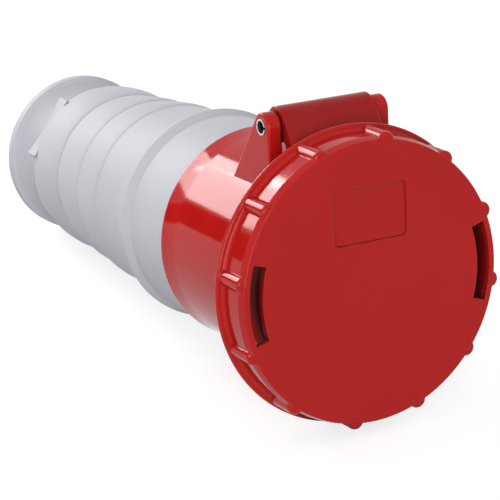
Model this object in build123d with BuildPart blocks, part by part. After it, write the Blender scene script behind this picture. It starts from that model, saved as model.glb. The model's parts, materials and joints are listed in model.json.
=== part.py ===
"""Inline socket for a five-pole power plug, with a bayonet cap on a hinged lid. Millimetres, +Z up.

The coupling axis is Y: the mouth faces -Y and the cable leaves towards +Y. The origin is the
middle of the contact carrier's front face.
"""
import os
from math import acos, atan2, cos, degrees, hypot, radians, sin, tan

from build123d import *

os.makedirs("parts", exist_ok=True)

# Clearances
running_gap = 0.05     # radial, a shaft in its bearing
moving_gap = 0.4       # between faces that pass each other
push_gap = 0.2         # between fixed pieces that slide together by hand
match_within = 0.01    # when an edge is picked by its place

# Front housing
collar_r = 43.0
collar_wall = 3.2
rear_wall = 2.8
collar_reach = 2.8     # how far the mouth stands in front of the contact face
sleeve_gap = 5.3       # between collar and contact carrier, for the plug's sleeve
socket_depth = 50.0    # contact face to the front of the partition
partition = 5.0
housing_tail = 10.0    # length of the slight flare at the housing's rear
tail_rise = 0.7
tail_crease = 0.03     # slope at the flare's start
housing_edge = 0.6
lug_reach = 7.0        # how far a bayonet lug stands out of the collar
lug_set_back = 0.8     # from the mouth to the lug
lug_thick = 3.2
lug_half_angle = 10.0
keyway_width = 11.0
keyway_depth = 2.2
key_rib_width = 19.0
key_rib_rise = 2.2

# Hinge
pin_y = 21.3
pin_rise = 14.5        # from the collar's top to the pin's axis
pin_r = 3.1
pin_bore_r = 2.45
pin_stand_out = 0.3
pin_seam = 0.9         # gap along the rolled tube
ear_round_r = 5.4
ear_inner_x = 20.4
ear_thick = 6.0
ear_foot_y = 48.5
ear_foot_z = 30.0
ear_edge = 1.0

# Cap
cap_depth = 16.8
face_thick = 3.0
skirt_room = 2.8       # from the collar's lugs to the skirt
cap_wall = 2.6
cap_edge_step = 0.9    # from the face's edge out to the wall
cap_edge_length = 3.1
cap_edge = 0.5
rim_reach = 2.7        # how far the rim stands out of the wall
rim_thick = 2.2
rib_count = 12
rib_r = 3.4
rib_reach = 1.9
rib_set_back = 0.4
rib_edge = 1.5
rib_angle = -9.0       # the first rib, from +X towards +Z
slot_room = 3.7        # from the collar to the slots and the cap's lugs
slot_ledge = 0.5       # from the slots to the skirt
slot_half_angle = 17.5
plate_width = 31.2
plate_low_z = 16.2
plate_high_z = 37.5
plate_depth = 0.8
plate_corner = 1.8
cap_lug_half_angle = 16.0
cap_lug_thick = 3.0
hub_r = 7.0
cap_screw_r = 2.0
cap_screw_head_r = 4.0
cap_screw_head = 2.2
cap_screw_depth = 5.5
cap_washer_r = 11.0
cap_washer_thick = 1.0
socket_key = 1.8       # half width of the driver recess in a screw head

# Lid
lid_disc_thick = 3.4
arm_barrel_r = 7.0
arm_leaf_thick = 5.5
arm_angle = 55.6       # the leaf's fall towards the lid
tongue_thick = 4.0
arm_edge = 0.7
gasket_overlap = 1.2   # how far the gasket reaches inside the collar
gasket_thick = 2.8
gasket_seat = 0.8
hub_seal_r = 0.8

# Rear shell
shell_wall = 3.0
spigot_length = 9.0
spigot_room = 3.8      # from the contact retainer back to the spigot
spigot_wall = 2.8
handle_step = 1.0      # from the collar in to the handle's front band
lip_foot = 107.3
lip_crest = 111.3
lip_rise = 1.9
lip_flat = 1.0
lip_back = 5.2
lip_groove = 0.6
cone_step = 0.4        # from the front band in to the cone behind the lip
band_grooves = (146.8, 168.9)
groove_falls = (2.6, 4.5)
shell_end = 193.5
shell_end_fall = 6.3
band_rise = 1.4        # the quick rise behind each groove
band_lead = 2.0
band_swell = 0.85
neck_step = 12.0       # from the handle's front band in to the gland neck
neck_wall = 3.5
neck_length = 20.5
neck_floor = 3.5
neck_floor_step = 10.0  # from the neck in to the hole in its floor
o_ring_r = 1.1
o_ring_seat = 0.9      # depth of the ring's groove in the spigot

# Gland
nut_joint = 0.2
nut_room = 1.0         # left between the neck's end and the nut's shoulder
nut_band_end = 222.0
nut_band_step = 3.6    # from the neck out to the band's end
nut_band_rise = 2.0
nut_band_lead = 3.3
nut_band_swell = 3.8   # how full the band is before it rounds down to its end
nut_band_round = 8.0
nut_band_edge = 1.0
flats_step = 3.8       # from the neck out to the flats
flats_width = 28.8
flats_front = 216.0
flats_hollow = 2.2     # how far the middle of a flat's rear edge curves in
flats_foot = 4.0       # from the neck in to where the flats start
tip_length = 2.0       # how far the tips of the flats stand behind the band
trumpet_neck_step = 0.5
trumpet_start = 226.0
trumpet_flare = 15.5
trumpet_flare_rise = 4.1
trumpet_rise = 5.8
trumpet_rim = 4.9
nut_end = 247.5
trumpet_edge = 1.0
trumpet_lip = 2.4
nut_bore_step = 9.0    # from the neck in to the nut's bore
nut_bore_length = 10.0
seal_wall = 12.3
seal_length = 18.0
seal_cone = 4.0
washer_width = 8.3

# Contacts and their carrier
carrier_wall = 2.4
carrier_plate = 4.0
carrier_web = 2.6      # plastic left in front of each sleeve
carrier_edge = 0.8
carrier_flange = 4.0
carrier_seal_thick = 1.2
contact_circle_r = 18.5
contact_turn_angle = 72.0
earth_angle = -90.0
phase_bore_r = 4.0
earth_bore_r = 5.0
pilot_bore_r = 3.0
sleeve_wall = 1.4
sleeve_bore_depth = 36.0
sleeve_slot = 1.0
sleeve_slot_length = 26.0
spring_thick = 0.6
spring_length = 4.0
spring_set_back = 5.4
spring_split = 2.0
insulator_gap = 0.3
insulator_wall = 1.8
shoulder_step = 2.2
shoulder_length = 4.6
terminal_step = 1.3
terminal_length = 22.0
terminal_wall = 1.9
terminal_web = 3.0
terminal_screw_r = 2.0
terminal_screw_rise = 1.6
terminal_screw_places = (6.0, 14.5)
retainer_thick = 4.0
small_screw_r = 1.5
small_head_r = 2.6
small_head = 1.8
small_driver = 1.1
carrier_screw_angles = (30.0, 150.0, -90.0)
carrier_screw_depth = 4.0

# Places that follow from the sizes above
lug_angles = (150.0, -30.0)
cap_lug_angles = (0.0, 180.0)
flat_angles = (142.5, 322.5)
collar_inner_r = collar_r - collar_wall
rear_cavity_r = collar_r - rear_wall
tail_r = collar_r + tail_rise
key_rib_r = collar_r + key_rib_rise
pin_z = collar_r + pin_rise
mouth_y = -collar_reach
lug_front = mouth_y + lug_set_back
partition_back = socket_depth + partition
flange_front = partition_back + carrier_seal_thick
flange_back = flange_front + carrier_flange
gasket_back = mouth_y - moving_gap
disc_back = gasket_back - gasket_thick + gasket_seat
disc_front = disc_back - lid_disc_thick
cap_inside = disc_front - moving_gap
cap_front = cap_inside - face_thick
cap_end = cap_front + cap_depth
cap_lug_front = lug_front + lug_thick + moving_gap
hub_end = disc_back + moving_gap
skirt_inner_r = collar_r + lug_reach + skirt_room
cap_wall_r = skirt_inner_r + cap_wall
cap_edge_r = cap_wall_r - cap_edge_step
rim_r = cap_wall_r + rim_reach
rib_tip_r = cap_wall_r + rib_reach
slot_inner_r = collar_r + slot_room
slot_outer_r = skirt_inner_r - slot_ledge
lid_disc_r = slot_inner_r - 2 * moving_gap
gasket_inner_r = collar_inner_r - gasket_overlap
gasket_outer_r = collar_r + moving_gap
tongue_z = collar_r + 2 * moving_gap
tongue_top_z = tongue_z + tongue_thick
arm_half = ear_inner_x - moving_gap
ear_outer_x = ear_inner_x + ear_thick
carrier_r = collar_inner_r - sleeve_gap
carrier_inner_r = carrier_r - carrier_wall
carrier_screw_circle_r = (carrier_r + rear_cavity_r) / 2
shoulder_front = flange_back - shoulder_length
terminal_front = flange_back + retainer_thick
housing_end = terminal_front + spigot_room + spigot_length
spigot_r = rear_cavity_r - push_gap
front_band_r = collar_r - handle_step
lip_r = front_band_r + lip_rise
cone_front_r = front_band_r - cone_step
cone_slope = groove_falls[0] / (band_grooves[0] - lip_crest - lip_back)
shell_end_r = cone_front_r - shell_end_fall
shell_floor = shell_end - shell_wall
neck_r = front_band_r - neck_step
neck_floor_r = neck_r - neck_floor_step
gland_r = neck_r - neck_wall - push_gap
cable_bore_r = gland_r - seal_wall
washer_bore_r = gland_r - washer_width
neck_end = shell_end + neck_length
seal_front = shell_floor + neck_floor
seal_back = seal_front + seal_length
nut_front = shell_end + nut_joint
nut_shoulder = neck_end + nut_room
nut_band_end_r = neck_r + nut_band_step
nut_bore_r = neck_r - nut_bore_step
flats_r = neck_r + flats_step
trumpet_neck_r = neck_r - trumpet_neck_step
trumpet_flare_r = trumpet_neck_r + trumpet_flare_rise
trumpet_r = trumpet_neck_r + trumpet_rise
rib_start = cap_front + rib_set_back


def across(y):
    """The plane across the coupling axis at y: X to the right, Z up, facing the mouth."""
    return Plane.XZ.offset(-y)


def band(start, end):
    """Control points of a band's outline between two grooves, each a radius and a place."""
    middle = ((start[0] + end[0]) / 2 + band_swell, (start[1] + end[1]) / 2)
    return start, (start[0] + band_rise, start[1] + band_lead), middle, end


def polar(radius, angle):
    """A point across the axis, at an angle from +X towards +Z."""
    return (radius * cos(radians(angle)), radius * sin(radians(angle)))


def outward(radius, angle):
    """The plane that faces outward at a point across the axis: X towards the gland, Y round it."""
    x, z = polar(radius, angle)
    return Plane(origin=(x, 0, z), x_dir=(0, 1, 0), z_dir=(x, 0, z))


def sector(inner_r, outer_r, middle, half_angle):
    """Adds a ring's sector to the open sketch."""
    low, high = middle - half_angle, middle + half_angle
    with BuildLine() as border:
        inner = ThreePointArc(polar(inner_r, low), polar(inner_r, middle), polar(inner_r, high))
        outer = ThreePointArc(polar(outer_r, low), polar(outer_r, middle), polar(outer_r, high))
        Line(inner @ 0, outer @ 0)
        Line(inner @ 1, outer @ 1)
    make_face(border.edges())


def edge_rings(part, y, radius):
    """The round edges of a turned piece at y and radius."""
    rings = part.edges().filter_by(GeomType.CIRCLE)
    return rings.filter_by(
        lambda e: max(abs(e.arc_center.Y - y), abs(e.radius - radius)) < match_within
    )


# Each contact: its bore and its place round the carrier
contact_spots = {"contact_pilot": (pilot_bore_r, 0.0, 90.0)}
contact_spots["contact_pe"] = (earth_bore_r, contact_circle_r, earth_angle)
for place, name in enumerate(("contact_l1", "contact_l2", "contact_l3", "contact_n"), 1):
    contact_spots[name] = (phase_bore_r, contact_circle_r, earth_angle + place * contact_turn_angle)

# One hinge ear of the front housing, its foot inside the collar's wall
with BuildPart() as hinge_ear:
    foot_run = ear_foot_y - pin_y
    foot_fall = pin_z - ear_foot_z
    lean = degrees(acos(ear_round_r / hypot(foot_run, foot_fall)) - atan2(foot_fall, foot_run))
    crown = polar(ear_round_r, (180 + lean) / 2)
    back = polar(ear_round_r, lean)
    with BuildSketch(Plane.YZ.offset(ear_inner_x)):
        with BuildLine():
            front = Line((pin_y - ear_round_r, ear_foot_z), (pin_y - ear_round_r, pin_z))
            top = ThreePointArc(
                front @ 1, (pin_y + crown[0], pin_z + crown[1]), (pin_y + back[0], pin_z + back[1])
            )
            Polyline(top @ 1, (ear_foot_y, ear_foot_z), front @ 0)
        make_face()
    extrude(amount=ear_thick)
    fillet(faces().filter_by(Axis.X).edges(), ear_edge)

# Front housing: collar, partition, bayonet lugs, keyway rib and hinge ears in one moulding
with BuildPart() as front_housing:
    with BuildSketch(Plane.XY):
        with BuildLine():
            tube = Polyline((0, mouth_y), (collar_r, mouth_y), (collar_r, housing_end - housing_tail))
            tail = TangentArc(tube @ 1, (tail_r, housing_end), tangent=(tail_crease, 1))
            Polyline(tail @ 1, (0, housing_end), (0, mouth_y))
        make_face()
    revolve(axis=Axis.Y)
    fillet(edge_rings(front_housing, mouth_y, collar_r), housing_edge)
    fillet(edge_rings(front_housing, housing_end, tail_r), housing_edge)
    for angle in lug_angles:
        with BuildSketch(across(lug_front)):
            sector(collar_r - collar_wall / 2, collar_r + lug_reach, angle, lug_half_angle)
        extrude(amount=-lug_thick)
    with BuildSketch(across(mouth_y + housing_edge)):
        with Locations((0, -key_rib_r / 2)):
            Rectangle(key_rib_width, key_rib_r)
        Circle(key_rib_r, mode=Mode.INTERSECT)
    extrude(amount=mouth_y + housing_edge - socket_depth)
    add(hinge_ear.part)
    add(mirror(hinge_ear.part, about=Plane.YZ, mode=Mode.PRIVATE))
    with BuildSketch(Plane.YZ.offset(-ear_outer_x)):
        with Locations((pin_y, pin_z)):
            Circle(pin_r)
    extrude(amount=2 * ear_outer_x, mode=Mode.SUBTRACT)
    with BuildSketch(across(mouth_y)):
        Circle(collar_inner_r)
        with Locations((0, -(collar_inner_r + keyway_depth) / 2)):
            Rectangle(keyway_width, collar_inner_r + keyway_depth)
    extrude(amount=mouth_y - socket_depth, mode=Mode.SUBTRACT)
    with BuildSketch(across(socket_depth)):
        Circle(carrier_r + push_gap)
    extrude(amount=-partition, mode=Mode.SUBTRACT)
    with BuildSketch(across(partition_back)):
        Circle(rear_cavity_r)
    extrude(amount=partition_back - housing_end, mode=Mode.SUBTRACT)
    with BuildSketch(across(partition_back)):
        for angle in carrier_screw_angles:
            with Locations(polar(carrier_screw_circle_r, angle)):
                Circle(small_screw_r)
    extrude(amount=carrier_screw_depth, mode=Mode.SUBTRACT)

# Hinge pin: a rolled steel tube with an open seam, held in both ears
with BuildPart() as hinge_pin:
    with BuildSketch(Plane.YZ.offset(-ear_outer_x - pin_stand_out)):
        with Locations((pin_y, pin_z)):
            Circle(pin_r)
            Circle(pin_bore_r, mode=Mode.SUBTRACT)
        with Locations((pin_y - pin_r, pin_z)):
            Rectangle(2 * pin_r, pin_seam, mode=Mode.SUBTRACT)
    extrude(amount=2 * (ear_outer_x + pin_stand_out))

# Lid: inner disc with the gasket's groove, the tongue over the collar and the hinge barrel
with BuildPart() as lid_arm:
    with BuildSketch(Plane.XY):
        with BuildLine():
            Polyline(
                (hub_r + running_gap, disc_front),
                (lid_disc_r, disc_front),
                (lid_disc_r, disc_back),
                (gasket_outer_r, disc_back),
                (gasket_outer_r, disc_back - gasket_seat),
                (gasket_inner_r, disc_back - gasket_seat),
                (gasket_inner_r, disc_back),
                (hub_r + running_gap, disc_back),
                close=True,
            )
        make_face()
    revolve(axis=Axis.Y)
    with BuildSketch(Plane.YZ.offset(-arm_half)):
        along = (cos(radians(arm_angle)), sin(radians(arm_angle)))
        upper = (pin_y - arm_barrel_r * along[1], pin_z + arm_barrel_r * along[0])
        lower = (upper[0] + arm_leaf_thick * along[1], upper[1] - arm_leaf_thick * along[0])
        with BuildLine():
            Polyline(
                (disc_front, tongue_z),
                (disc_front, tongue_top_z),
                (upper[0] + (tongue_top_z - upper[1]) / tan(radians(arm_angle)), tongue_top_z),
                upper,
                lower,
                (lower[0] + (tongue_z - lower[1]) / tan(radians(arm_angle)), tongue_z),
                close=True,
            )
        make_face()
        with Locations((pin_y, pin_z)):
            Circle(arm_barrel_r)
    extrude(amount=2 * arm_half)
    cheeks = lid_arm.faces().filter_by(Axis.X).sort_by(Axis.X)
    cheek_edges = cheeks[0].edges() + cheeks[-1].edges()
    fillet(cheek_edges.filter_by(lambda e: e.center().Z > tongue_top_z + arm_edge), arm_edge)
    with BuildSketch(Plane.YZ.offset(-arm_half)):
        with Locations((pin_y, pin_z)):
            Circle(pin_r + running_gap)
    extrude(amount=2 * arm_half, mode=Mode.SUBTRACT)
    with BuildSketch(Plane.XY):
        with Locations((hub_r + running_gap + hub_seal_r / 2, (disc_front + disc_back) / 2)):
            Rectangle(hub_seal_r, 2 * hub_seal_r)
    revolve(axis=Axis.Y, mode=Mode.SUBTRACT)

# Gasket between the lid's disc and the collar's mouth
with BuildPart() as lid_gasket:
    with BuildSketch(across(disc_back - gasket_seat)):
        Circle(gasket_outer_r)
        Circle(gasket_inner_r, mode=Mode.SUBTRACT)
    extrude(amount=-gasket_thick)

# Seal round the cap's hub, in the lid disc's bore
with BuildPart() as hub_seal:
    with BuildSketch(Plane.XY):
        with Locations((hub_r + running_gap + hub_seal_r / 2, (disc_front + disc_back) / 2)):
            Rectangle(hub_seal_r, 2 * hub_seal_r)
    revolve(axis=Axis.Y)

# One finger rib of the cap, along its wall at +X
with BuildPart() as finger_rib:
    with BuildSketch(across(rib_start)):
        with Locations((rib_tip_r - rib_r, 0)):
            Circle(rib_r)
    extrude(amount=rib_start - cap_end + rim_thick / 2)
    fillet(edge_rings(finger_rib, rib_start, rib_r), rib_edge)

# Bayonet cap: face, skirt, rolled rim, finger ribs, two slots, two lugs and the turning hub
with BuildPart() as bayonet_cap:
    bead = rim_thick / 2
    cove = rim_r - bead - cap_wall_r
    with BuildSketch(Plane.XY):
        with BuildLine():
            wall = Polyline(
                (0, cap_front),
                (cap_edge_r, cap_front),
                (cap_wall_r, cap_front + cap_edge_length),
                (cap_wall_r, cap_end - rim_thick - cove),
            )
            hollow = TangentArc(wall @ 1, (rim_r - bead, cap_end - rim_thick), tangent=(0, 1))
            rim = ThreePointArc(hollow @ 1, (rim_r, cap_end - bead), (rim_r - bead, cap_end))
            Polyline(
                rim @ 1,
                (skirt_inner_r, cap_end),
                (skirt_inner_r, cap_inside),
                (hub_r, cap_inside),
                (hub_r, hub_end),
                (0, hub_end),
                (0, cap_front),
            )
        make_face()
    revolve(axis=Axis.Y)
    fillet(edge_rings(bayonet_cap, cap_front, cap_edge_r), cap_edge)
    for turn in range(rib_count):
        angle = rib_angle + turn * 360 / rib_count
        add(Rotation(0, -angle, 0) * finger_rib.part)
    with BuildSketch(across(cap_inside)):
        Circle(skirt_inner_r)
        Circle(hub_r, mode=Mode.SUBTRACT)
    extrude(amount=cap_inside - cap_end, mode=Mode.SUBTRACT)
    for angle in cap_lug_angles:
        with BuildSketch(across(cap_front)):
            sector(slot_inner_r, slot_outer_r, angle, slot_half_angle)
        extrude(amount=-face_thick, mode=Mode.SUBTRACT)
        with BuildSketch(across(cap_lug_front)):
            sector(slot_inner_r, skirt_inner_r + rib_r / 2, angle, cap_lug_half_angle)
        extrude(amount=-cap_lug_thick)
    with BuildSketch(across(cap_front)):
        with Locations((0, (plate_low_z + plate_high_z) / 2)):
            RectangleRounded(plate_width, plate_high_z - plate_low_z, plate_corner)
    extrude(amount=-plate_depth, mode=Mode.SUBTRACT)
    with BuildSketch(across(hub_end)):
        Circle(cap_screw_r)
    extrude(amount=cap_screw_depth, mode=Mode.SUBTRACT)

# Washer and screw that hold the lid's disc on the cap's hub
with BuildPart() as cap_washer:
    with BuildSketch(across(hub_end)):
        Circle(cap_washer_r)
        Circle(cap_screw_r, mode=Mode.SUBTRACT)
    extrude(amount=-cap_washer_thick)

with BuildPart() as cap_screw:
    head_front = hub_end + cap_washer_thick
    with BuildSketch(across(head_front)):
        Circle(cap_screw_head_r)
    extrude(amount=-cap_screw_head)
    fillet(edge_rings(cap_screw, head_front + cap_screw_head, cap_screw_head_r), cap_screw_head / 3)
    with BuildSketch(across(head_front)):
        Circle(cap_screw_r)
    extrude(amount=cap_washer_thick + cap_screw_depth)
    with BuildSketch(across(head_front + cap_screw_head)):
        RegularPolygon(socket_key, 6)
    extrude(amount=cap_screw_head / 2, mode=Mode.SUBTRACT)

# Contact carrier: front plate with the pins' entries, outer wall and the fixing flange
with BuildPart() as contact_carrier:
    with BuildSketch(across(0)):
        Circle(carrier_r)
    extrude(amount=-flange_back)
    fillet(edge_rings(contact_carrier, 0, carrier_r), carrier_edge)
    with BuildSketch(across(flange_front)):
        Circle(rear_cavity_r - push_gap)
    extrude(amount=-carrier_flange)
    with BuildSketch(across(carrier_plate)):
        Circle(carrier_inner_r)
    extrude(amount=carrier_plate - flange_back, mode=Mode.SUBTRACT)
    for bore_r, circle_r, angle in contact_spots.values():
        with BuildSketch(across(0)):
            with Locations(polar(circle_r, angle)):
                Circle(bore_r)
        extrude(amount=-carrier_web, mode=Mode.SUBTRACT)
        with BuildSketch(across(carrier_web)):
            with Locations(polar(circle_r, angle)):
                Circle(bore_r + sleeve_wall + push_gap)
        extrude(amount=carrier_web - carrier_plate, mode=Mode.SUBTRACT)
    with BuildSketch(across(flange_front)):
        for angle in carrier_screw_angles:
            with Locations(polar(carrier_screw_circle_r, angle)):
                Circle(small_screw_r)
    extrude(amount=-carrier_flange, mode=Mode.SUBTRACT)

# Insulating tubes over the contacts' sleeves, between the front plate and the shoulders
with BuildPart() as contact_insulators:
    for bore_r, circle_r, angle in contact_spots.values():
        inner = bore_r + sleeve_wall + spring_thick + insulator_gap
        with BuildSketch(across(carrier_plate)):
            with Locations(polar(circle_r, angle)):
                Circle(inner + insulator_wall)
                Circle(inner, mode=Mode.SUBTRACT)
        extrude(amount=carrier_plate - shoulder_front)

# Seal between the carrier's flange and the partition
with BuildPart() as carrier_seal:
    with BuildSketch(across(partition_back)):
        Circle(rear_cavity_r - push_gap)
        Circle(carrier_r + push_gap, mode=Mode.SUBTRACT)
        for angle in carrier_screw_angles:
            with Locations(polar(carrier_screw_circle_r, angle)):
                Circle(small_screw_r, mode=Mode.SUBTRACT)
    extrude(amount=-carrier_seal_thick)

# Retainer plate behind the carrier, which traps the contacts' shoulders
with BuildPart() as contact_retainer:
    with BuildSketch(across(flange_back)):
        Circle(rear_cavity_r - push_gap)
        for bore_r, circle_r, angle in contact_spots.values():
            with Locations(polar(circle_r, angle)):
                Circle(bore_r + sleeve_wall + terminal_step + push_gap, mode=Mode.SUBTRACT)
        for angle in carrier_screw_angles:
            with Locations(polar(carrier_screw_circle_r, angle)):
                Circle(small_screw_r, mode=Mode.SUBTRACT)
    extrude(amount=-retainer_thick)

# Screws through the retainer and the carrier's flange into the partition
with BuildPart() as carrier_screws:
    for angle in carrier_screw_angles:
        spot = polar(carrier_screw_circle_r, angle)
        with BuildSketch(across(terminal_front)):
            with Locations(spot):
                Circle(small_head_r)
        extrude(amount=-small_head)
        with BuildSketch(across(terminal_front)):
            with Locations(spot):
                Circle(small_screw_r)
        extrude(amount=terminal_front - partition_back + carrier_screw_depth)
        with BuildSketch(across(terminal_front + small_head)):
            with Locations(spot):
                RegularPolygon(small_driver, 6)
        extrude(amount=small_head / 2, mode=Mode.SUBTRACT)


def contact(bore_r, circle_r, angle):
    """One contact: slotted sleeve, locating shoulder and screw terminal, turned from a bar."""
    spot = polar(circle_r, angle)
    sleeve_r = bore_r + sleeve_wall
    terminal_r = sleeve_r + terminal_step
    terminal_end = flange_back + terminal_length
    with BuildPart() as piece:
        with BuildSketch(across(carrier_web)):
            with Locations(spot):
                Circle(sleeve_r)
        extrude(amount=carrier_web - shoulder_front)
        with BuildSketch(across(shoulder_front)):
            with Locations(spot):
                Circle(sleeve_r + shoulder_step)
        extrude(amount=-shoulder_length)
        with BuildSketch(across(flange_back)):
            with Locations(spot):
                Circle(terminal_r)
        extrude(amount=-terminal_length)
        with BuildSketch(across(carrier_web)):
            with Locations(spot):
                Circle(bore_r)
        extrude(amount=-sleeve_bore_depth, mode=Mode.SUBTRACT)
        with BuildSketch(across(carrier_web)):
            with Locations(spot):
                Rectangle(2 * terminal_r, sleeve_slot, rotation=angle)
        extrude(amount=-sleeve_slot_length, mode=Mode.SUBTRACT)
        with BuildSketch(across(terminal_end)):
            with Locations(spot):
                Circle(terminal_r - terminal_wall)
        extrude(amount=terminal_length - terminal_web, mode=Mode.SUBTRACT)
        for place in terminal_screw_places:
            with BuildSketch(screw_plane(spot, angle, place, 0)):
                Circle(terminal_screw_r)
            extrude(amount=terminal_r, mode=Mode.SUBTRACT)
    return piece


def screw_plane(spot, angle, place, out):
    """The plane across a terminal screw, at a distance out from the terminal's axis."""
    outward = polar(1, angle)
    origin = (spot[0] + out * outward[0], terminal_front + place, spot[1] + out * outward[1])
    return Plane(origin=origin, z_dir=(outward[0], 0, outward[1]))


contacts = {name: contact(*spot) for name, spot in contact_spots.items()}

# Terminal screws, two in each contact
with BuildPart() as terminal_screws:
    for bore_r, circle_r, angle in contact_spots.values():
        terminal_r = bore_r + sleeve_wall + terminal_step
        inner = terminal_r - terminal_wall
        for place in terminal_screw_places:
            with BuildSketch(screw_plane(polar(circle_r, angle), angle, place, inner)):
                Circle(terminal_screw_r)
            extrude(amount=terminal_wall + terminal_screw_rise)
            with BuildSketch(
                screw_plane(polar(circle_r, angle), angle, place, terminal_r + terminal_screw_rise)
            ):
                Rectangle(2 * terminal_screw_r, terminal_screw_r / 3)
            extrude(amount=-terminal_screw_rise / 2, mode=Mode.SUBTRACT)

# Split spring rings that close the slotted sleeves on the plug's pins
with BuildPart() as contact_springs:
    for bore_r, circle_r, angle in contact_spots.values():
        with BuildSketch(across(carrier_web + spring_set_back)):
            with Locations(polar(circle_r, angle)):
                Circle(bore_r + sleeve_wall + spring_thick)
                Circle(bore_r + sleeve_wall, mode=Mode.SUBTRACT)
            with Locations(polar(circle_r + bore_r + sleeve_wall, angle)):
                Rectangle(spring_split, spring_split, rotation=angle, mode=Mode.SUBTRACT)
        extrude(amount=-spring_length)

# Rear shell: the grey handle, with its spigot, lip, swelling bands and gland neck
with BuildPart() as rear_shell:
    with BuildSketch(Plane.XY):
        with BuildLine():
            lip_end = lip_crest + lip_flat
            front = Polyline(
                (spigot_r - spigot_wall, housing_end - spigot_length),
                (spigot_r, housing_end - spigot_length),
                (spigot_r, housing_end),
                (front_band_r, housing_end),
                (front_band_r, lip_foot - lip_groove),
                (front_band_r - lip_groove, lip_foot),
                (lip_r, lip_crest),
                (lip_r, lip_end),
            )
            back = Bezier(
                front @ 1,
                (lip_r - lip_groove, lip_crest + lip_back / 2),
                (cone_front_r, lip_crest + lip_back),
                (cone_front_r - cone_slope * lip_back, lip_crest + 2 * lip_back),
            )
            grooves = [(cone_front_r - fall, y) for fall, y in zip(groove_falls, band_grooves)]
            Line(back @ 1, grooves[0])
            Bezier(*band(grooves[0], grooves[1]))
            Bezier(*band(grooves[1], (shell_end_r, shell_end)))
            Polyline(
                (shell_end_r, shell_end),
                (neck_r, shell_end),
                (neck_r, neck_end),
                (neck_r - neck_wall, neck_end),
                (neck_r - neck_wall, seal_front),
                (neck_floor_r, seal_front),
                (neck_floor_r, shell_floor),
                (shell_end_r - shell_wall, shell_floor),
                (spigot_r - spigot_wall, lip_foot),
                (spigot_r - spigot_wall, housing_end - spigot_length),
            )
        make_face()
    revolve(axis=Axis.Y)
    fillet(edge_rings(rear_shell, housing_end, front_band_r), lip_groove)
    fillet(edge_rings(rear_shell, lip_crest, lip_r) + edge_rings(rear_shell, lip_end, lip_r), lip_flat / 3)
    with BuildSketch(Plane.XY):
        with Locations((spigot_r - o_ring_seat / 2, housing_end - spigot_length / 2)):
            Rectangle(o_ring_seat, 2 * o_ring_r)
    revolve(axis=Axis.Y, mode=Mode.SUBTRACT)

# Ring seal between the spigot and the front housing
with BuildPart() as housing_seal:
    with BuildSketch(Plane.XY):
        with Locations((rear_cavity_r - (o_ring_seat + push_gap) / 2, housing_end - spigot_length / 2)):
            SlotOverall(2 * o_ring_r, o_ring_seat + push_gap, rotation=90)
    revolve(axis=Axis.Y)

# Gland nut: last band, two flats for a spanner and the trumpet that guides the cable
with BuildPart() as gland_nut:
    with BuildSketch(Plane.XY):
        with BuildLine():
            ring = Bezier(
                (shell_end_r, nut_front),
                (shell_end_r + nut_band_rise, nut_front + nut_band_lead),
                (nut_band_end_r + nut_band_swell, nut_band_end - nut_band_round),
                (nut_band_end_r, nut_band_end),
            )
            body = Polyline(
                ring @ 1, (trumpet_neck_r, nut_band_end), (trumpet_neck_r, trumpet_start)
            )
            flare = TangentArc(
                body @ 1, (trumpet_flare_r, trumpet_start + trumpet_flare), tangent=(0, 1)
            )
            rim = Polyline(flare @ 1, (trumpet_r, nut_end - trumpet_rim), (trumpet_r, nut_end))
            mouth = Line(rim @ 1, (trumpet_r - trumpet_lip, nut_end))
            throat = (nut_bore_r, nut_shoulder + nut_bore_length)
            TangentArc(throat, mouth @ 1, tangent=(0, 1))
            Polyline(
                throat,
                (nut_bore_r, nut_shoulder),
                (neck_r + push_gap, nut_shoulder),
                (neck_r + push_gap, nut_front),
                ring @ 0,
            )
        make_face()
    revolve(axis=Axis.Y)
    for y in (nut_end - trumpet_rim, nut_end):
        fillet(edge_rings(gland_nut, y, trumpet_r), trumpet_edge)
    fillet(edge_rings(gland_nut, nut_band_end, nut_band_end_r), nut_band_edge)
    for angle in flat_angles:
        with BuildSketch(outward(neck_r - flats_foot, angle)):
            with BuildLine():
                front = Line((flats_front, -flats_width / 2), (flats_front, flats_width / 2))
                rear = ThreePointArc(
                    (nut_band_end + tip_length, -flats_width / 2),
                    (nut_band_end + tip_length - flats_hollow, 0),
                    (nut_band_end + tip_length, flats_width / 2),
                )
                Line(front @ 0, rear @ 0)
                Line(front @ 1, rear @ 1)
            make_face()
        extrude(amount=flats_r - neck_r + flats_foot)

# Rubber seal round the cable, and the ring that the nut presses on it
with BuildPart() as gland_seal:
    with BuildSketch(Plane.XY):
        with BuildLine():
            Polyline(
                (cable_bore_r, seal_front),
                (gland_r, seal_front),
                (gland_r, seal_back - seal_cone),
                (washer_bore_r + seal_cone, seal_back),
                (cable_bore_r, seal_back),
                close=True,
            )
        make_face()
    revolve(axis=Axis.Y)

with BuildPart() as gland_washer:
    with BuildSketch(across(seal_back)):
        Circle(gland_r)
        Circle(washer_bore_r, mode=Mode.SUBTRACT)
    extrude(amount=seal_back - nut_shoulder)

pieces = {
    "front_housing": front_housing,
    "hinge_pin": hinge_pin,
    "lid_arm": lid_arm,
    "lid_gasket": lid_gasket,
    "hub_seal": hub_seal,
    "bayonet_cap": bayonet_cap,
    "cap_washer": cap_washer,
    "cap_screw": cap_screw,
    "contact_carrier": contact_carrier,
    "contact_insulators": contact_insulators,
    "carrier_seal": carrier_seal,
    "contact_retainer": contact_retainer,
    "carrier_screws": carrier_screws,
    "terminal_screws": terminal_screws,
    "contact_springs": contact_springs,
    "rear_shell": rear_shell,
    "housing_seal": housing_seal,
    "gland_nut": gland_nut,
    "gland_seal": gland_seal,
    "gland_washer": gland_washer,
}
pieces.update(contacts)
for name, piece in pieces.items():
    piece.part.label = name
    export_step(piece.part, f"parts/{name}.step")
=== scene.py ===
import json
import math

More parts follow.
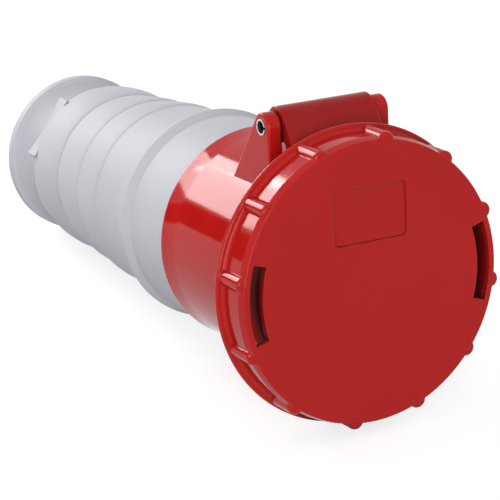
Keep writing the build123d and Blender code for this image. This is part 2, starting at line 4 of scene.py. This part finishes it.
import bpy
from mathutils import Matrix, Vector


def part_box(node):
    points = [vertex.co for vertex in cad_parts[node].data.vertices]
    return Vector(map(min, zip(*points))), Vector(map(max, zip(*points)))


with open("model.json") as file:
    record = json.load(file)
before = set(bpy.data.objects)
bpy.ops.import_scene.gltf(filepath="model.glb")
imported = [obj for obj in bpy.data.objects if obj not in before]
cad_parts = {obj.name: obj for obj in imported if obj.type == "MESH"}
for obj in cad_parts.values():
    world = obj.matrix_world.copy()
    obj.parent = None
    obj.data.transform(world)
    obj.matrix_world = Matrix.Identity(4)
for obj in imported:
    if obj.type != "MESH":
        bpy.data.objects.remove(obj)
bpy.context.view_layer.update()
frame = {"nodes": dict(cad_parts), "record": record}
nodes = frame["nodes"]
print("frame loaded:", len(nodes), "pieces")


def hexColour(code):
    # screen colour to the linear values that the shaders work in
    values = [int(code[i:i + 2], 16) / 255 for i in (1, 3, 5)]
    linear = [v / 12.92 if v <= 0.04045 else ((v + 0.055) / 1.055) ** 2.4 for v in values]
    return (*linear, 1.0)


white = hexColour("#ffffff")


def addNode(tree, kind, place, **settings):
    node = tree.nodes.new(kind)
    node.location = place
    for name, value in settings.items():
        setattr(node, name, value)
    return node


def feed(tree, socket, value):
    # another node's output is linked, and a plain value is set on the socket
    if isinstance(value, bpy.types.NodeSocket):
        tree.links.new(value, socket)
    else:
        socket.default_value = value


def feedAll(tree, node, values):
    for label, value in values.items():
        feed(tree, node.inputs[label], value)


def newGroup(name, inputs, outputs):
    # a node group whose sockets all carry single values
    tree = bpy.data.node_groups.new(name, "ShaderNodeTree")
    for label, value in inputs.items():
        socket = tree.interface.new_socket(label, in_out="INPUT", socket_type="NodeSocketFloat")
        socket.default_value = value
    for label in outputs:
        tree.interface.new_socket(label, in_out="OUTPUT", socket_type="NodeSocketFloat")
    source = addNode(tree, "NodeGroupInput", (-900, 0))
    sink = addNode(tree, "NodeGroupOutput", (700, 0))
    return tree, source.outputs, sink


def placeGroup(tree, group, place, values):
    node = addNode(tree, "ShaderNodeGroup", place, node_tree=group)
    feedAll(tree, node, values)
    return node.outputs


def remap(tree, value, place, span, result=(0.0, 1.0), blend="LINEAR"):
    # span is the range that value comes in, result the range that it goes out in
    node = addNode(tree, "ShaderNodeMapRange", place, interpolation_type=blend)
    feedAll(tree, node, {
        "Value": value, "From Min": span[0], "From Max": span[1],
        "To Min": result[0], "To Max": result[1],
    })
    return node.outputs["Result"]


def mathNode(tree, operation, place, first, second=0.0):
    node = addNode(tree, "ShaderNodeMath", place, operation=operation)
    for socket, value in zip(node.inputs, (first, second)):
        feed(tree, socket, value)
    return node.outputs["Value"]


def noiseNode(tree, place, scale, detail):
    # noise in the piece's own space, so it doesn't slide when the piece moves
    coords = addNode(tree, "ShaderNodeTexCoord", (place[0] - 250, place[1]))
    node = addNode(tree, "ShaderNodeTexNoise", place)
    feedAll(tree, node, {"Vector": coords.outputs["Object"], "Scale": scale, "Detail": detail})
    return node.outputs["Fac"]


skinLook = {
    "grainDetail": 3.0, "waveDetail": 1.0,
    "toneScale": 34.0, "toneDetail": 4.0, "toneSpan": (0.3, 0.7),
}


def makeMouldSkin(look):
    # the faint skin of a moulding: a fine grain, slow waves from shrinkage and a tone that drifts
    tree, source, sink = newGroup(
        "mouldSkin",
        {"Grain Scale": 900.0, "Grain": 0.3, "Wave Scale": 22.0, "Wave": 0.6},
        ("Height", "Tone"),
    )
    grain = noiseNode(tree, (-450, 250), source["Grain Scale"], look["grainDetail"])
    wave = noiseNode(tree, (-450, -50), source["Wave Scale"], look["waveDetail"])
    tone = noiseNode(tree, (-450, -350), look["toneScale"], look["toneDetail"])
    fine = mathNode(tree, "MULTIPLY", (-150, 250), grain, source["Grain"])
    slow = mathNode(tree, "MULTIPLY", (-150, -50), wave, source["Wave"])
    feedAll(tree, sink, {
        "Height": mathNode(tree, "ADD", (100, 150), fine, slow),
        "Tone": remap(tree, tone, (100, -300), look["toneSpan"]),
    })
    return tree


edgeWearAndGlintLook = {  # turnSpan: how far the rounded normal has to leave the flat one
    "samples": 4, "turnSpan": (0.99, 0.85),
    "patchScale": 160.0, "patchDetail": 5.0, "patchSpan": (0.42, 0.66),
}


def makeEdgeWearAndGlint(look):
    # where hands and benches rub the edges, broken up into patches; on the red the lighter edge
    # colour is also a painted highlight along rims and edges
    tree, source, sink = newGroup("edgeWearAndGlint", {"Width": 0.0006, "Amount": 0.5}, ("Mask",))
    bevel = addNode(tree, "ShaderNodeBevel", (-600, 100), samples=look["samples"])
    feed(tree, bevel.inputs["Radius"], source["Width"])
    flat = addNode(tree, "ShaderNodeNewGeometry", (-600, -100))
    turn = addNode(tree, "ShaderNodeVectorMath", (-400, 50), operation="DOT_PRODUCT")
    feed(tree, turn.inputs[0], bevel.outputs["Normal"])
    feed(tree, turn.inputs[1], flat.outputs["Normal"])
    edge = remap(tree, turn.outputs["Value"], (-200, 50), look["turnSpan"])
    patch = noiseNode(tree, (-450, -300), look["patchScale"], look["patchDetail"])
    broken = remap(tree, patch, (-200, -300), look["patchSpan"])
    wornAndGlinting = mathNode(tree, "MULTIPLY", (50, 0), edge, broken)
    feed(tree, sink.inputs["Mask"], mathNode(tree, "MULTIPLY", (300, 0), wornAndGlinting, source["Amount"]))
    return tree


dustLook = {
    "colour": "#b8b4ae", "scale": 70.0, "detail": 8.0,
    "facingSpan": (0.1, 0.9), "cloudSpan": (0.45, 0.75),
}


def makeDustFilm(look):
    # a breath of dust on what faces up
    tree, source, sink = newGroup("dustFilm", {"Scale": look["scale"], "Amount": 0.1}, ("Mask",))
    speck = noiseNode(tree, (-450, 0), source["Scale"], look["detail"])
    normal = addNode(tree, "ShaderNodeNewGeometry", (-700, -250))
    split = addNode(tree, "ShaderNodeSeparateXYZ", (-450, -250))
    feed(tree, split.inputs["Vector"], normal.outputs["Normal"])
    facing = remap(tree, split.outputs["Z"], (-200, -250), look["facingSpan"])
    cloud = remap(tree, speck, (-200, 0), look["cloudSpan"])
    film = mathNode(tree, "MULTIPLY", (50, 0), facing, cloud)
    feed(tree, sink.inputs["Mask"], mathNode(tree, "MULTIPLY", (300, 0), film, source["Amount"]))
    return tree


creviceLook = {"samples": 8, "reach": 0.012, "closed": 0.25, "open": 0.75}


def makeCreviceShade(look):
    # painted shade: 1 deep in slots and coves, 0 on open faces
    tree, source, sink = newGroup(
        "creviceShade",
        {"Reach": look["reach"], "Closed": look["closed"], "Open": look["open"]},
        ("Mask",),
    )
    shade = addNode(tree, "ShaderNodeAmbientOcclusion", (-500, 100), samples=look["samples"])
    feed(tree, shade.inputs["Distance"], source["Reach"])
    span = (source["Closed"], source["Open"])
    shut = remap(tree, shade.outputs["AO"], (-150, 0), span, (1.0, 0.0), "SMOOTHSTEP")
    feed(tree, sink.inputs["Mask"], shut)
    return tree


mouthLook = {  # how far the ring reaches past the carrier's rim, the lid's edge and the lid's front
    "innerSpare": 0.0005, "outerSpare": 0.0006, "frontSpare": 0.0012,
}


def makeCapShadeAndMattZone(look):
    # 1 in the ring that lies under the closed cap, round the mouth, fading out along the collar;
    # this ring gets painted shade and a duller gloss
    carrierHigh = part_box("contact_carrier")[1]
    lidLow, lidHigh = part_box("lid_arm")
    tree, source, sink = newGroup(
        "capShadeAndMattZone",
        {
            "Inner Radius": carrierHigh[0] - look["innerSpare"],
            "Outer Radius": lidHigh[0] + look["outerSpare"],
            "Front": lidLow[1] - look["frontSpare"],
            "Fade Start": 0.0, "Fade End": 0.01,
        },
        ("Mask",),
    )
    coords = addNode(tree, "ShaderNodeTexCoord", (-900, 200))
    split = addNode(tree, "ShaderNodeSeparateXYZ", (-700, 200))
    feed(tree, split.inputs["Vector"], coords.outputs["Object"])
    across = mathNode(tree, "MULTIPLY", (-500, 300), split.outputs["X"], split.outputs["X"])
    upright = mathNode(tree, "MULTIPLY", (-500, 150), split.outputs["Z"], split.outputs["Z"])
    squared = mathNode(tree, "ADD", (-320, 250), across, upright)
    distance = mathNode(tree, "SQRT", (-150, 250), squared)
    near = mathNode(tree, "LESS_THAN", (30, 250), distance, source["Outer Radius"])
    outer = mathNode(tree, "GREATER_THAN", (30, 400), distance, source["Inner Radius"])
    behind = mathNode(tree, "GREATER_THAN", (30, 80), split.outputs["Y"], source["Front"])
    span = (source["Fade Start"], source["Fade End"])
    fade = remap(tree, split.outputs["Y"], (-150, -100), span, (1.0, 0.0))
    ring = mathNode(tree, "MULTIPLY", (230, 350), near, outer)
    inside = mathNode(tree, "MULTIPLY", (330, 200), ring, behind)
    feed(tree, sink.inputs["Mask"], mathNode(tree, "MULTIPLY", (430, 100), inside, fade))
    return tree


mouldSkin = makeMouldSkin(skinLook)
edgeWearAndGlint = makeEdgeWearAndGlint(edgeWearAndGlintLook)
dustFilm = makeDustFilm(dustLook)
creviceShade = makeCreviceShade(creviceLook)
capShadeAndMattZone = makeCapShadeAndMattZone(mouthLook)
print("shared effects ready")

mixSockets = {"mask": 0, "first": 6, "second": 7, "result": 2}  # the mix node's colour sockets


def mixColour(tree, mask, first, second, place):
    node = addNode(tree, "ShaderNodeMix", place, data_type="RGBA")
    for name, value in (("mask", mask), ("first", first), ("second", second)):
        feed(tree, node.inputs[mixSockets[name]], value)
    return node.outputs[mixSockets["result"]]


def startMaterial(name):
    material = bpy.data.materials.new(name)
    material.use_nodes = True
    tree = material.node_tree
    return material, tree, tree.nodes["Principled BSDF"]


def zoneMask(tree, place, fade):
    zone = placeGroup(tree, capShadeAndMattZone, place, {"Fade Start": fade[0], "Fade End": fade[1]})
    return zone["Mask"]


softEdgeSamples = 6
mattCurve = 2.0  # how late a shaded recess turns matt as it gets deeper


def mouldedPlastic(name, look):
    # one injection-moulded plastic: tones, skin, rubbed edges (on the red also a painted
    # highlight), dust, and painted shade with a duller gloss in its hollows
    material, tree, shader = startMaterial(name)
    skin = placeGroup(tree, mouldSkin, (-900, 0), {
        "Grain Scale": look["grainScale"], "Grain": look["grain"],
        "Wave Scale": look["waveScale"], "Wave": look["wave"],
    })
    wearAndGlint = placeGroup(
        tree, edgeWearAndGlint, (-900, -250), {"Width": look["wearAndGlintWidth"], "Amount": look["wearAndGlint"]})
    dust = placeGroup(tree, dustFilm, (-900, -450), {"Amount": look["dust"]})
    crevice = placeGroup(tree, creviceShade, (-900, -650), {"Reach": look["creviceReach"]})
    paintedShadeMask = mathNode(tree, "MULTIPLY", (-600, -650), crevice["Mask"], look["crevice"])
    matt = paintedShadeMask
    # painted shade round the cap's mouth, and a duller gloss reaching a little further
    if "mouthShade" in look:
        shadeRing = zoneMask(tree, (-900, -850), look["shadeFade"])
        dull = zoneMask(tree, (-900, -1050), look["dullFade"])
        mouthShadeMask = mathNode(tree, "MULTIPLY", (-600, -850), shadeRing, look["mouthShade"])
        matt = mathNode(tree, "MAXIMUM", (-450, -950), paintedShadeMask, dull)
        paintedShadeMask = mathNode(tree, "MAXIMUM", (-450, -750), paintedShadeMask, mouthShadeMask)

    # the last of these colours is painted shade, laid into the crevices and, on the red, round the
    # cap's mouth
    deep, light, wornAndGlinting, paintedShadeColour = (
        hexColour(look[key]) for key in ("deep", "light", "wornAndGlinting", "paintedShadeColour"))
    body = mixColour(tree, skin["Tone"], deep, light, (-600, 200))
    wornAndGlintedBody = mixColour(tree, wearAndGlint["Mask"], body, wornAndGlinting, (-400, 200))
    dusty = mixColour(tree, dust["Mask"], wornAndGlintedBody, hexColour(dustLook["colour"]), (-200, 200))

    polish = remap(tree, skin["Tone"], (-600, -50), (0.0, 1.0), (look["smooth"], look["rough"]))
    scuffed = mathNode(tree, "ADD", (-400, -100), polish, wearAndGlint["Mask"])
    dusted = mathNode(tree, "ADD", (-200, -100), scuffed, dust["Mask"])
    dulled = mathNode(tree, "POWER", (-200, -250), matt, mattCurve)

    corner = addNode(tree, "ShaderNodeBevel", (-600, -500), samples=softEdgeSamples)
    feed(tree, corner.inputs["Radius"], look["softEdge"])
    bump = addNode(tree, "ShaderNodeBump", (-300, -400))
    feedAll(tree, bump, {
        "Strength": look["bump"], "Distance": look["bumpDepth"],
        "Height": skin["Height"], "Normal": corner.outputs["Normal"],
    })
    feedAll(tree, shader, {
        "Base Color": mixColour(tree, paintedShadeMask, dusty, paintedShadeColour, (-50, 350)),
        "Roughness": mathNode(tree, "MAXIMUM", (-50, -150), dusted, dulled),
        "Specular IOR Level": look["shine"],
        "Normal": bump.outputs["Normal"],
    })
    return material


metalLook = {  # what the metals share
    "skin": {"Grain Scale": 1200.0, "Grain": 0.4, "Wave Scale": 60.0, "Wave": 0.5},
    "ringDetail": 4.0, "ringSpan": (0.3, 0.7), "bump": 0.25, "bumpDepth": 0.00005,
}


def turnedMetal(name, look):
    # metal with fine tool rings and a little tarnish
    material, tree, shader = startMaterial(name)
    coords = addNode(tree, "ShaderNodeTexCoord", (-1100, 0))
    stretch = addNode(tree, "ShaderNodeMapping", (-900, 0))
    feedAll(tree, stretch, {"Vector": coords.outputs["Object"], "Scale": look["stretch"]})
    rings = addNode(tree, "ShaderNodeTexNoise", (-700, 0))
    feedAll(tree, rings, {
        "Vector": stretch.outputs["Vector"],
        "Scale": look["ringScale"], "Detail": metalLook["ringDetail"],
    })
    skin = placeGroup(tree, mouldSkin, (-900, -300), metalLook["skin"])
    bump = addNode(tree, "ShaderNodeBump", (-300, -400))
    feedAll(tree, bump, {
        "Strength": metalLook["bump"], "Distance": metalLook["bumpDepth"],
        "Height": rings.outputs["Fac"],
    })
    deep, light = hexColour(look["deep"]), hexColour(look["light"])
    polish = (look["smooth"], look["rough"])
    feedAll(tree, shader, {
        "Base Color": mixColour(tree, skin["Tone"], deep, light, (-400, 200)),
        "Roughness": remap(
            tree, rings.outputs["Fac"], (-400, -50), metalLook["ringSpan"], polish),
        "Metallic": 1.0,
        "Normal": bump.outputs["Normal"],
    })
    return material


redLook = {  # in every look here, lengths are in metres and scales in cells a metre
    "deep": "#b11816", "light": "#b71a17", "wornAndGlinting": "#cf625c", "paintedShadeColour": "#4a0b0a",
    "grainScale": 900.0, "grain": 0.15, "waveScale": 26.0, "wave": 1.0,
    "bump": 0.15, "bumpDepth": 0.0004, "softEdge": 0.0007,
    "smooth": 0.05, "rough": 0.10, "shine": 0.15,
    # the red's lighter edges are part wear and part painted highlight
    "wearAndGlintWidth": 0.0005, "wearAndGlint": 0.35, "dust": 0.01,
    "creviceReach": 0.012, "crevice": 1.0,
    # painted shade round the cap's mouth, and where it and the duller gloss fade out
    "mouthShade": 0.7, "shadeFade": (0.003, 0.009), "dullFade": (0.012, 0.024),  # fades are along Y
}
shadedArmLook = {**redLook, "deep": "#971412", "light": "#9c1613", "wearAndGlint": 0.1}  # a darker copy of the red: painted shade on the lid arm
greyLook = {
    "deep": "#b9b9c0", "light": "#bfbfc6", "wornAndGlinting": "#adadb2", "paintedShadeColour": "#707074",
    "grainScale": 1400.0, "grain": 0.5, "waveScale": 22.0, "wave": 0.6,
    "bump": 0.25, "bumpDepth": 0.0003, "softEdge": 0.0006,
    "smooth": 0.56, "rough": 0.64, "shine": 0.2,
    "wearAndGlintWidth": 0.0006, "wearAndGlint": 0.15, "dust": 0.03,
    "creviceReach": 0.006, "crevice": 0.7,
}
darkLook = {
    "deep": "#222326", "light": "#2b2c2f", "wornAndGlinting": "#55565a", "paintedShadeColour": "#0c0c0d",
    "grainScale": 1200.0, "grain": 0.6, "waveScale": 30.0, "wave": 0.4,
    "bump": 0.3, "bumpDepth": 0.0003, "softEdge": 0.0003,
    "smooth": 0.42, "rough": 0.55, "shine": 0.5,
    "wearAndGlintWidth": 0.0004, "wearAndGlint": 0.2, "dust": 0.03,
    "creviceReach": 0.008, "crevice": 0.5,
}
rubberLook = {
    "deep": "#161617", "light": "#1f1f21", "wornAndGlinting": "#3a3a3c", "paintedShadeColour": "#080809",
    "grainScale": 1600.0, "grain": 0.8, "waveScale": 40.0, "wave": 0.3,
    "bump": 0.4, "bumpDepth": 0.0003, "softEdge": 0.0003,
    "smooth": 0.62, "rough": 0.78, "shine": 0.5,
    "wearAndGlintWidth": 0.0003, "wearAndGlint": 0.2, "dust": 0.08,
    "creviceReach": 0.008, "crevice": 0.5,
}
brassLook = {
    "deep": "#b08a4a", "light": "#d0ab68", "smooth": 0.22, "rough": 0.36,
    "ringScale": 900.0, "stretch": (0.15, 1.0, 0.15),  # rings round Y, as the contacts lie
}
steelLook = {
    "deep": "#b4b5b8", "light": "#dadbdd", "smooth": 0.16, "rough": 0.30,
    "ringScale": 700.0, "stretch": (1.0, 0.2, 0.2),  # rings round X, as the hinge pin lies
}

finishes = {
    "red_moulding": mouldedPlastic("redMoulding", redLook),
    "grey_moulding": mouldedPlastic("greyMoulding", greyLook),
    "dark_moulding": mouldedPlastic("darkMoulding", darkLook),
    "seal_rubber": mouldedPlastic("sealRubber", rubberLook),
    "contact_brass": turnedMetal("contactBrass", brassLook),
    "steel": turnedMetal("brightSteel", steelLook),
}
for row in frame["record"]["subparts"]:
    piece = nodes[row["node"]]
    piece.data.materials.clear()
    piece.data.materials.append(finishes[row["material_slot"]])
# the lid arm takes the darker copy of the red, as painted shade
nodes["lid_arm"].data.materials[0] = mouldedPlastic("armShadedRed", shadedArmLook)
print("finishes ready:", len(finishes) + 1)


def flatPanel(name, width, depth):
    # one rectangle, facing its own Z
    x, y = width / 2, depth / 2
    mesh = bpy.data.meshes.new(name)
    mesh.from_pydata([(-x, -y, 0), (x, -y, 0), (x, y, 0), (-x, y, 0)], [], [(0, 1, 2, 3)])
    panel = bpy.data.objects.new(name, mesh)
    bpy.context.scene.collection.objects.link(panel)
    return panel


def seenRays(tree, place):
    # 1 on the rays that see the backdrop: straight, mirrored and through glass
    paths = addNode(tree, "ShaderNodeLightPath", place)
    straight, mirrored, bent = (
        paths.outputs[f"Is {kind} Ray"] for kind in ("Camera", "Glossy", "Transmission"))
    seen = mathNode(tree, "MAXIMUM", (place[0] + 150, place[1]), straight, mirrored)
    return mathNode(tree, "MAXIMUM", (place[0] + 300, place[1]), seen, bent)


floorLook = {
    "size": 30.0, "tones": ("#a0a0a2", "#a8a8aa"), "paperScale": 3.0, "roughness": 0.9,
    "lift": 0.75,  # how far the seen floor is brought up to the backdrop's white
    "capInset": 0.0011,  # from the cap's back to where its ribs touch the floor
    "tailInset": 0.001,  # from the nut's back to where its rim touches the floor
    "tailRadius": 0.0353,
}


def makeFloor(look):
    # the socket lies on its cap's ribs and its gland's rim, so the floor slopes a little along it
    capLow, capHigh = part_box("bayonet_cap")
    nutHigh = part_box("gland_nut")[1]
    frontY, frontZ = capHigh[1] - look["capInset"], capLow[2]
    backY, backZ = nutHigh[1] - look["tailInset"], -look["tailRadius"]
    floor = flatPanel("floor", look["size"], look["size"])
    floor.location = (0, frontY, frontZ)
    floor.rotation_euler = (math.atan2(backZ - frontZ, backY - frontY), 0, 0)
    material, tree, shader = startMaterial("floorPaper")
    paper = addNode(tree, "ShaderNodeTexNoise", (-700, 100))
    feed(tree, paper.inputs["Scale"], look["paperScale"])
    tones = [hexColour(code) for code in look["tones"]]
    seen = seenRays(tree, (-500, -300))
    feedAll(tree, shader, {
        "Base Color": mixColour(tree, paper.outputs["Fac"], *tones, (-450, 100)),
        "Roughness": look["roughness"],
        "Specular IOR Level": 0.0,
        "Emission Color": white,
        "Emission Strength": mathNode(tree, "MULTIPLY", (-50, -300), seen, look["lift"]),
    })
    floor.data.materials.append(material)


def standAt(thing, look):
    # out from the aim along the way, by the reach, and facing back at the aim
    way = Vector(look["way"]).normalized()
    thing.location = Vector(look["aim"]) + way * look["reach"]
    thing.rotation_euler = way.to_track_quat("Z", "Y").to_euler()


cardColour = "#0a0a0a"
cardLooks = {
    "flag": {  # keeps the collar's flank dark between its highlights
        "aim": (0.0, 0.03, 0.0), "way": (-0.32, 0.86, 0.10), "reach": 1.45,
        "size": (1.3, 0.42), "glow": 0.0,
    },
    "glowCard": {  # carries the collar's highlight on over its rear flare
        "aim": (0.0, 0.03, 0.02), "way": (-0.38, 0.70, 0.62), "reach": 1.5,
        "size": (0.9, 0.36), "glow": 10.8,
    },
}


def makeCard(name, look):
    # a card beside the back lamp, black or glowing, which only reflections see
    card = flatPanel(name, *look["size"])
    standAt(card, look)
    material, tree, shader = startMaterial(name + "Cloth")
    feedAll(tree, shader, {
        "Base Color": hexColour(cardColour),
        "Roughness": 1.0,
        "Specular IOR Level": 0.0,
        "Emission Color": white,
        "Emission Strength": look["glow"],
    })
    card.data.materials.append(material)
    card.visible_camera = False
    card.visible_diffuse = False
    card.visible_shadow = False


lampLooks = {
    "backBox": {
        "aim": (0.0, 0.03, 0.02), "way": (-0.25, 0.86, 0.40), "reach": 1.5,
        "size": (0.75, 0.45), "power": 11.5, "mirrored": True,
    },
    "frontBox": {
        "aim": (0.0, 0.0, 0.0), "way": (-0.62, -0.76, 0.15), "reach": 2.2,
        "size": (2.0, 1.5), "power": 43.0, "mirrored": True,
    },
    "topBox": {
        "aim": (0.0, 0.1, 0.0), "way": (-0.35, 0.1, 0.93), "reach": 1.8,
        "size": (1.0, 1.0), "power": 5.0, "mirrored": False,
    },
    "rightBox": {
        "aim": (0.0, 0.1, 0.0), "way": (0.88, 0.15, 0.36), "reach": 2.2,
        "size": (1.5, 1.2), "power": 18.0, "mirrored": False,
    },
}


def areaLamp(name, look):
    # a soft box, which reflections see only if it is mirrored
    data = bpy.data.lights.new(name, "AREA")
    data.shape = "RECTANGLE"
    data.size, data.size_y = look["size"]
    data.energy = look["power"]
    lamp = bpy.data.objects.new(name, data)
    standAt(lamp, look)
    lamp.visible_camera = False
    lamp.visible_glossy = look["mirrored"]
    bpy.context.scene.collection.objects.link(lamp)


worldLook = {"seen": white, "room": (0.4, 0.4, 0.4, 1.0)}


def makeWorld(look):
    # white where the backdrop is seen, and a dimmer room for the light that it gives
    world = bpy.data.worlds.new("studio")
    bpy.context.scene.world = world
    world.use_nodes = True
    tree = world.node_tree
    seen = tree.nodes["Background"]
    feed(tree, seen.inputs["Color"], look["seen"])
    room = addNode(tree, "ShaderNodeBackground", (0, -200))
    feed(tree, room.inputs["Color"], look["room"])
    mix = addNode(tree, "ShaderNodeMixShader", (250, 0))
    parts = (seenRays(tree, (-500, 300)), room.outputs[0], seen.outputs[0])
    for socket, value in zip(mix.inputs, parts):
        feed(tree, socket, value)
    feed(tree, tree.nodes["World Output"].inputs["Surface"], mix.outputs[0])


makeFloor(floorLook)
for label, look in cardLooks.items():
    makeCard(label, look)
for label, look in lampLooks.items():
    areaLamp(label, look)
makeWorld(worldLook)
print("stage lit")

cameraLook = {
    "place": (-0.4587, -0.7774, 0.2727),
    "turn": (73.8555, 2.4529, -28.7455),  # degrees about X, Y and Z
    "lens": 180.0, "farClip": 60.0,
}


def makeCamera(look):
    data = bpy.data.cameras.new("camera")
    data.lens = look["lens"]
    data.clip_end = look["farClip"]
    camera = bpy.data.objects.new("camera", data)
    camera.location = look["place"]
    camera.rotation_euler = [math.radians(angle) for angle in look["turn"]]
    bpy.context.scene.collection.objects.link(camera)
    bpy.context.scene.camera = camera


makeCamera(cameraLook)
bpy.context.scene.view_settings.view_transform = "Standard"
print("camera set")
